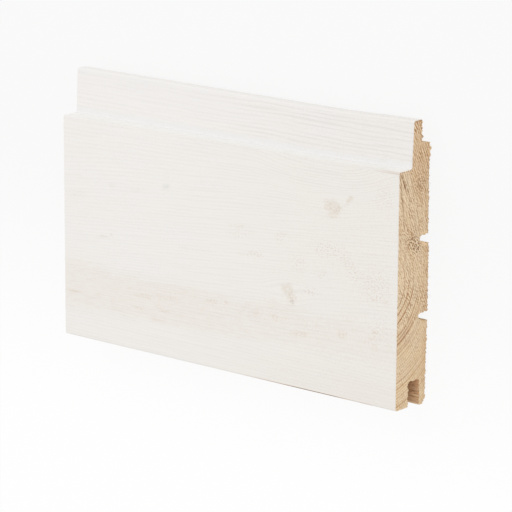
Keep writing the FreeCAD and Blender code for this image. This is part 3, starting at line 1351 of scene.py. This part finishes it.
def end_rings(color, place, radius):
    """A sawn end with its late wood, fine rings and straight layers."""
    y, z, _ = place
    tongue = ease(y, *END_TONGUE)
    late = late_wood(radius) * (LATE_SHARES[0] + LATE_SHARES[1] * noise(place, LATE_PATCHES))
    late = late * (LATE_UP_SHARES[0] + LATE_UP_SHARES[1] * ease(z, *LATE_UP))
    late = late * (1 - LATE_FADE * ease(y, *LATE_FADES) - LATE_FADE_AGAIN * ease(y, *LATE_FADES_AGAIN))
    dense = between(radius, DENSE_RISE, DENSE_FALL) * ease(y, *DENSE_ACROSS) * ease(z, *DENSE_UP)
    color = blend(at_most(LATE_DEPTH * late + DENSE_DEPTH * dense, 1.0), color, RING_BROWN)

    sway = FINE_RING_SWAY * noise(place, FINE_RING_SWAY_SIZE, 1.0)
    fine_rings = ((radius * math.tau) / FINE_RING_SPACING + sway).sine()
    depth = FINE_RING_DEPTH + FINER_ON_TONGUE * tongue + FINER_BELOW * ease(y, *END_LOWER)
    color = blend(ease(fine_rings, *FINE_RING_RANGE) * depth, color, WOOD_LATE)

    sway = LAYER_SWAY * noise(place, LAYER_SWAY_SIZE, 1.0)
    layers = ((LAYERS_A_MM[0] * y + LAYERS_A_MM[1] * z) * math.tau + sway).sine()
    layered = ease(y, *LAYERS_FROM) * (1 - tongue)
    return blend(ease(layers, *LAYER_RANGE) * LAYER_DEPTH * layered, color, WOOD_LATE)


def saw_hatch(color, place, saw, grit):
    """A sawn end with dark and pale saw marks, rougher in patches."""
    y = place[0]
    hatch = (SAW_SHARES[0] + SAW_SHARES[1] * ease(y, *SAW_STRONGER)) * saw + GRIT_SHARE * grit
    patches = ease(noise(place, ROUGH_PATCHES), *ROUGH_RANGE)
    rough = ROUGH_SHARES[0] + ROUGH_SHARES[1] * patches
    rough = rough * (1 - SMOOTHER_SHARE * ease(y, *SMOOTHER_BELOW))
    depth = HATCH_DEPTH + HATCH_DEEPER_ON_TONGUE * ease(y, *END_TONGUE)
    color = blend(ease(hatch, *HATCH_DARK) * depth * rough, color, WOOD_LATE)
    return blend(ease(hatch, *HATCH_PALE) * HATCH_PALE_DEPTH * rough, color, WOOD_PALE)


def torn_pores(color, place, left_end):
    """A sawn end with torn pores and cracks, and how deep the pores are."""
    y, z, _ = place
    up = y + LEFT_TEAR_SHIFT * left_end
    on_place = point_of(up, z, 0.0)
    along = (TEAR_DIRECTION[0] * up - TEAR_DIRECTION[1] * z) / TEAR_CELL[0]
    across = (TEAR_DIRECTION[1] * up + TEAR_DIRECTION[0] * z) / TEAR_CELL[1]
    sockets = {"Vector": point_of(along, across, 0.0), "Scale": 1.0, "Randomness": TEAR_RANDOMNESS}
    cells = on_place.node("ShaderNodeTexVoronoi", {"voronoi_dimensions": "2D"}, sockets)
    dots = ease(cells, *TEAR_DOTS)
    torn = marks(on_place, TEARS) + TEAR_ABOVE * ease(y, *END_UPPER)
    torn = torn + TEAR_SHARE * ease(noise(place, TEAR_PATCHES), *TEAR_RANGE)
    color = blend(dots * at_most(torn, MOST_TORN), color, WOOD_PORE)
    # Pale spots between the torn pores: pale torn fibres, with painted highlights on them
    color = blend(ease(cells, *TEAR_PALE) * at_most(torn, 1.0) * TEAR_PALE_DEPTH, color, WOOD_PALE)
    broken = CRACK_SHARES[0] + CRACK_SHARES[1] * noise(place, CRACK_PATCHES)
    color = blend(at_most(marks(on_place, CRACKS) * broken, MOST_CRACKED), color, WOOD_PORE)
    return color, dots * torn


def sawn_end_grain():
    """Sawn ends: growth rings round a middle in front of the face, pores, tears and saw marks."""
    material, shader, (x, y, z) = new_surface("sawn_end_grain")
    place = (y, z, x)
    left_end = ease(x, *LEFT_END)
    wobble = noise(place, WOBBLE_SIZE, 1.0)
    radius = ring_radius(y, z) + RING_WOBBLE * wobble - LEFT_RING_SHIFT * left_end
    radius = radius - RING_STEP * ease(y, *STEP_ACROSS) * ease(radius, *STEP_WITHIN)
    saw_phase = (SAW_WAVES_A_MM[0] * y + SAW_WAVES_A_MM[1] * z) * math.tau
    saw = (saw_phase + SAW_SWAY * noise(place, SAW_SWAY_SIZE, 1.0)).sine()
    along_stroke = STROKE[0] * y + STROKE[1] * z
    across_stroke = STROKE[1] * y - STROKE[0] * z
    grit = noise((along_stroke, across_stroke, x), GRIT_SIZE, 1.0)

    color = end_ground(place, radius, wobble)
    color = end_rings(color, place, radius)
    color = saw_hatch(color, place, saw, grit)
    color, pores = torn_pores(color, place, left_end)
    # Gold rims, and painted light on the back splinter
    rims_and_light = marks(point_of(y, z, 0.0), GOLD_RIMS_AND_LIGHT)
    color = blend(at_most(rims_and_light, MOST_GOLD), color, RIM_GOLD_AND_LIGHT)
    dark_tip = ease(y + DARK_TIP_FRAY * grit, *DARK_TIP)
    color = blend(dark_tip * DARK_TIP_DEPTH, color, WOOD_LATE)

    roughness = END_ROUGHNESS + ROUGHER_GRIT * grit
    relief = GRIT_BUMP * grit + SAW_BUMP * saw - PORE_BUMP * pores
    cover(shader, color, roughness, relief, WOOD_BUMP, END_SPECULAR)
    return material


def groove_wood(color, place, fine, fibres):
    """Bare wood with painted light on the relief cuts' walls and painted shade in the groove, brown and
    darkening away from the ends.
    """
    x, y, z = place
    # Painted light on the walls of the relief cuts
    in_cut = between(z, CUT_UP_RISE, CUT_UP_FALL) * between(y, CUT_ACROSS_RISE, CUT_ACROSS_FALL)
    color = blend(in_cut * CUT_LIGHT_SHARE, color, CUT_PAINTED_LIGHT)
    in_groove = between(y, GROOVE_RISE, GROOVE_FALL) * ease(z, *GROOVE_UP)
    # Painted shade in the groove: brown on the bare wood, deepening away from the ends, with dark lines
    # along the grain
    shade_brown = in_groove * (GROOVE_SHARES[0] + GROOVE_SHARES[1] * fine)
    color = blend(at_most(shade_brown, 1.0), color, GROOVE_SHADE_BROWN)
    deep_shade = ease(half_length - abs(x) + GROOVE_FRAY * fibres, *GROOVE_SHADE_DEEP)
    lines = ease(fine + fibres, *GROOVE_LINE_RANGE)
    return blend(in_groove * (GROOVE_SHADE_DEPTH * deep_shade + GROOVE_LINES * lines), color, GROOVE_PAINTED_SHADE)


def bare_wood():
    """Bare long grain of the back, the groove, the relief cuts and the tongue's back."""
    material, shader, place = new_surface("bare_wood")
    x, y, z = place
    radius = ring_radius(y, z) + BARE_RUN_OUT * x + BARE_BEND * noise(place, BARE_BEND_SIZE)
    fine = noise(place, BARE_FINE)
    fibres = noise(place, BARE_FIBRES, 1.0)
    patches = noise(place, BARE_PATCHES)
    saw_marks = noise(place, BACK_SAW_MARKS) * ease(z, *ROUGH_BACK)

    color = blend(ease(patches, *BARE_PATCH_RANGE), WOOD_PALE, WOOD_GOLD)
    color = blend(late_wood(radius) * BARE_LATE, color, WOOD_LATE)
    color = blend(ease(fine, *BARE_FINE_RANGE) * BARE_FINE_DEPTH, color, WOOD_LATE)
    color = blend(ease(fibres, *BARE_FIBRE_RANGE) * BARE_FIBRE_DEPTH, color, WOOD_GREY)
    color = blend(ease(saw_marks, *BACK_SAW_RANGE) * BACK_SAW_DEPTH, color, WOOD_GREY)
    color = groove_wood(color, place, fine, fibres)

    roughness = BARE_ROUGHNESS + ROUGHER_GRAIN * fine
    relief = BARE_BUMP * (fine + fibres + saw_marks)
    cover(shader, color, roughness, relief, WOOD_BUMP, BARE_SPECULAR)
    return material


# Stage

WHITE = (1, 1, 1, 1)
FLOOR_HALF = 4.0
FLOOR_COLOR = paint(247, 247, 246)
FLOOR_ROUGHNESS = 0.9
FLOOR_SPECULAR = 0.1
GLOW_FAR = 0.952
GLOW_NEAR = 1.0
GLOW_FADES = (0.03, -0.12)
SHADOW_SHARE = 0.06
AMBIENT = 0.84
KEY_PLACE = Vector((-0.4, 0.92, 0.98))
KEY_SIZE = 1.1
KEY_POWER = 3.7
FILL_PLACE = Vector((1.25, 0.25, 0.42))
FILL_SIZE = 0.9
FILL_POWER = 1.0

# Camera: where it stands in millimetres, where it looks, and which way is right in the picture
CAMERA_PLACE = Vector((804.49, 314.65, 993.03))
CAMERA_FORWARD = Vector((-0.609550, -0.248077, -0.752932))
CAMERA_RIGHT = Vector((0.776341, 0.005424, -0.630289))
CAMERA_LENS = 215.46
SENSOR_WIDTH = 36.0
FARTHEST_SEEN = 20.0


def seen_directly(field):
    """1 for what the camera sees, straight, in a reflection or through glass."""
    seen = 0.0
    for ray in ("Is Camera Ray", "Is Glossy Ray", "Is Transmission Ray"):
        seen = at_least(field.node("ShaderNodeLightPath", {}, {}, ray), seen)
    return seen


def floor_material():
    """Pale matt floor that glows to the camera, so that it looks nearly white but keeps some shadow."""
    material = bpy.data.materials.new("pale_floor")
    material.use_nodes = True
    tree = material.node_tree
    shader = tree.nodes["Principled BSDF"]
    shader.inputs["Base Color"].default_value = FLOOR_COLOR
    shader.inputs["Roughness"].default_value = FLOOR_ROUGHNESS
    shader.inputs["Specular IOR Level"].default_value = FLOOR_SPECULAR
    lit = Field(tree, shader.outputs["BSDF"])
    point = lit.node("ShaderNodeTexCoord", {}, {}, "Object")
    across = lit.node("ShaderNodeSeparateXYZ", {}, {0: point}, "Y")
    level = GLOW_FAR + (GLOW_NEAR - GLOW_FAR) * ease(across, *GLOW_FADES)
    glow = lit.node("ShaderNodeEmission", {}, {"Color": level, "Strength": 1.0})
    share = seen_directly(lit) * (1 - SHADOW_SHARE)
    mixed = lit.node("ShaderNodeMixShader", {}, {0: share, 1: lit, 2: glow})
    tree.links.new(mixed.socket, tree.nodes["Material Output"].inputs["Surface"])
    return material


def pale_floor():
    """A wide pale floor under the board."""
    corners = [(x * FLOOR_HALF, y * FLOOR_HALF, 0.0) for x, y in ((-1, -1), (1, -1), (1, 1), (-1, 1))]
    mesh = bpy.data.meshes.new("floor")
    mesh.from_pydata(corners, [], [(0, 1, 2, 3)])
    mesh.materials.append(floor_material())
    floor = bpy.data.objects.new("floor", mesh)
    bpy.context.scene.collection.objects.link(floor)


def soft_lamp(name, place, size, power):
    """A large round soft lamp that points at the board."""
    lamp = bpy.data.lights.new(name, "AREA")
    lamp.shape = "DISK"
    lamp.size = size
    lamp.energy = power
    holder = bpy.data.objects.new(name, lamp)
    holder.location = place
    holder.rotation_euler = (-place).to_track_quat("-Z", "Y").to_euler()
    bpy.context.scene.collection.objects.link(holder)


def soft_light():
    """An even white surround, a key lamp above the tongue's side and a fill lamp before the right end."""
    world = bpy.data.worlds.new("white_surround")
    bpy.context.scene.world = world
    world.use_nodes = True
    tree = world.node_tree
    background = tree.nodes["Background"]
    background.inputs["Color"].default_value = WHITE
    start = Field(tree, background.outputs[0])
    strength = AMBIENT + (1 - AMBIENT) * seen_directly(start)
    tree.links.new(strength.socket, background.inputs["Strength"])
    soft_lamp("soft_key", KEY_PLACE, KEY_SIZE, KEY_POWER)
    soft_lamp("soft_fill", FILL_PLACE, FILL_SIZE, FILL_POWER)


def photo_camera():
    """The camera at the photograph's viewing angle, looking down on the lying board."""
    lens = bpy.data.cameras.new("camera")
    lens.sensor_width = SENSOR_WIDTH
    lens.lens = CAMERA_LENS
    lens.clip_end = FARTHEST_SEEN
    camera = bpy.data.objects.new("camera", lens)
    back = -CAMERA_FORWARD.normalized()
    up = back.cross(CAMERA_RIGHT).normalized()
    right = up.cross(back)
    turned = Matrix((right, up, back)).transposed().to_4x4()
    camera.matrix_world = Matrix.Translation(CAMERA_PLACE * MM) @ turned
    bpy.context.scene.collection.objects.link(camera)
    bpy.context.scene.camera = camera


board = glazed_board([white_glaze(), bare_wood(), sawn_end_grain()])
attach(board, "root")
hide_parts(BOARD)
pale_floor()
soft_light()
photo_camera()
bpy.context.scene.view_settings.view_transform = "Standard"
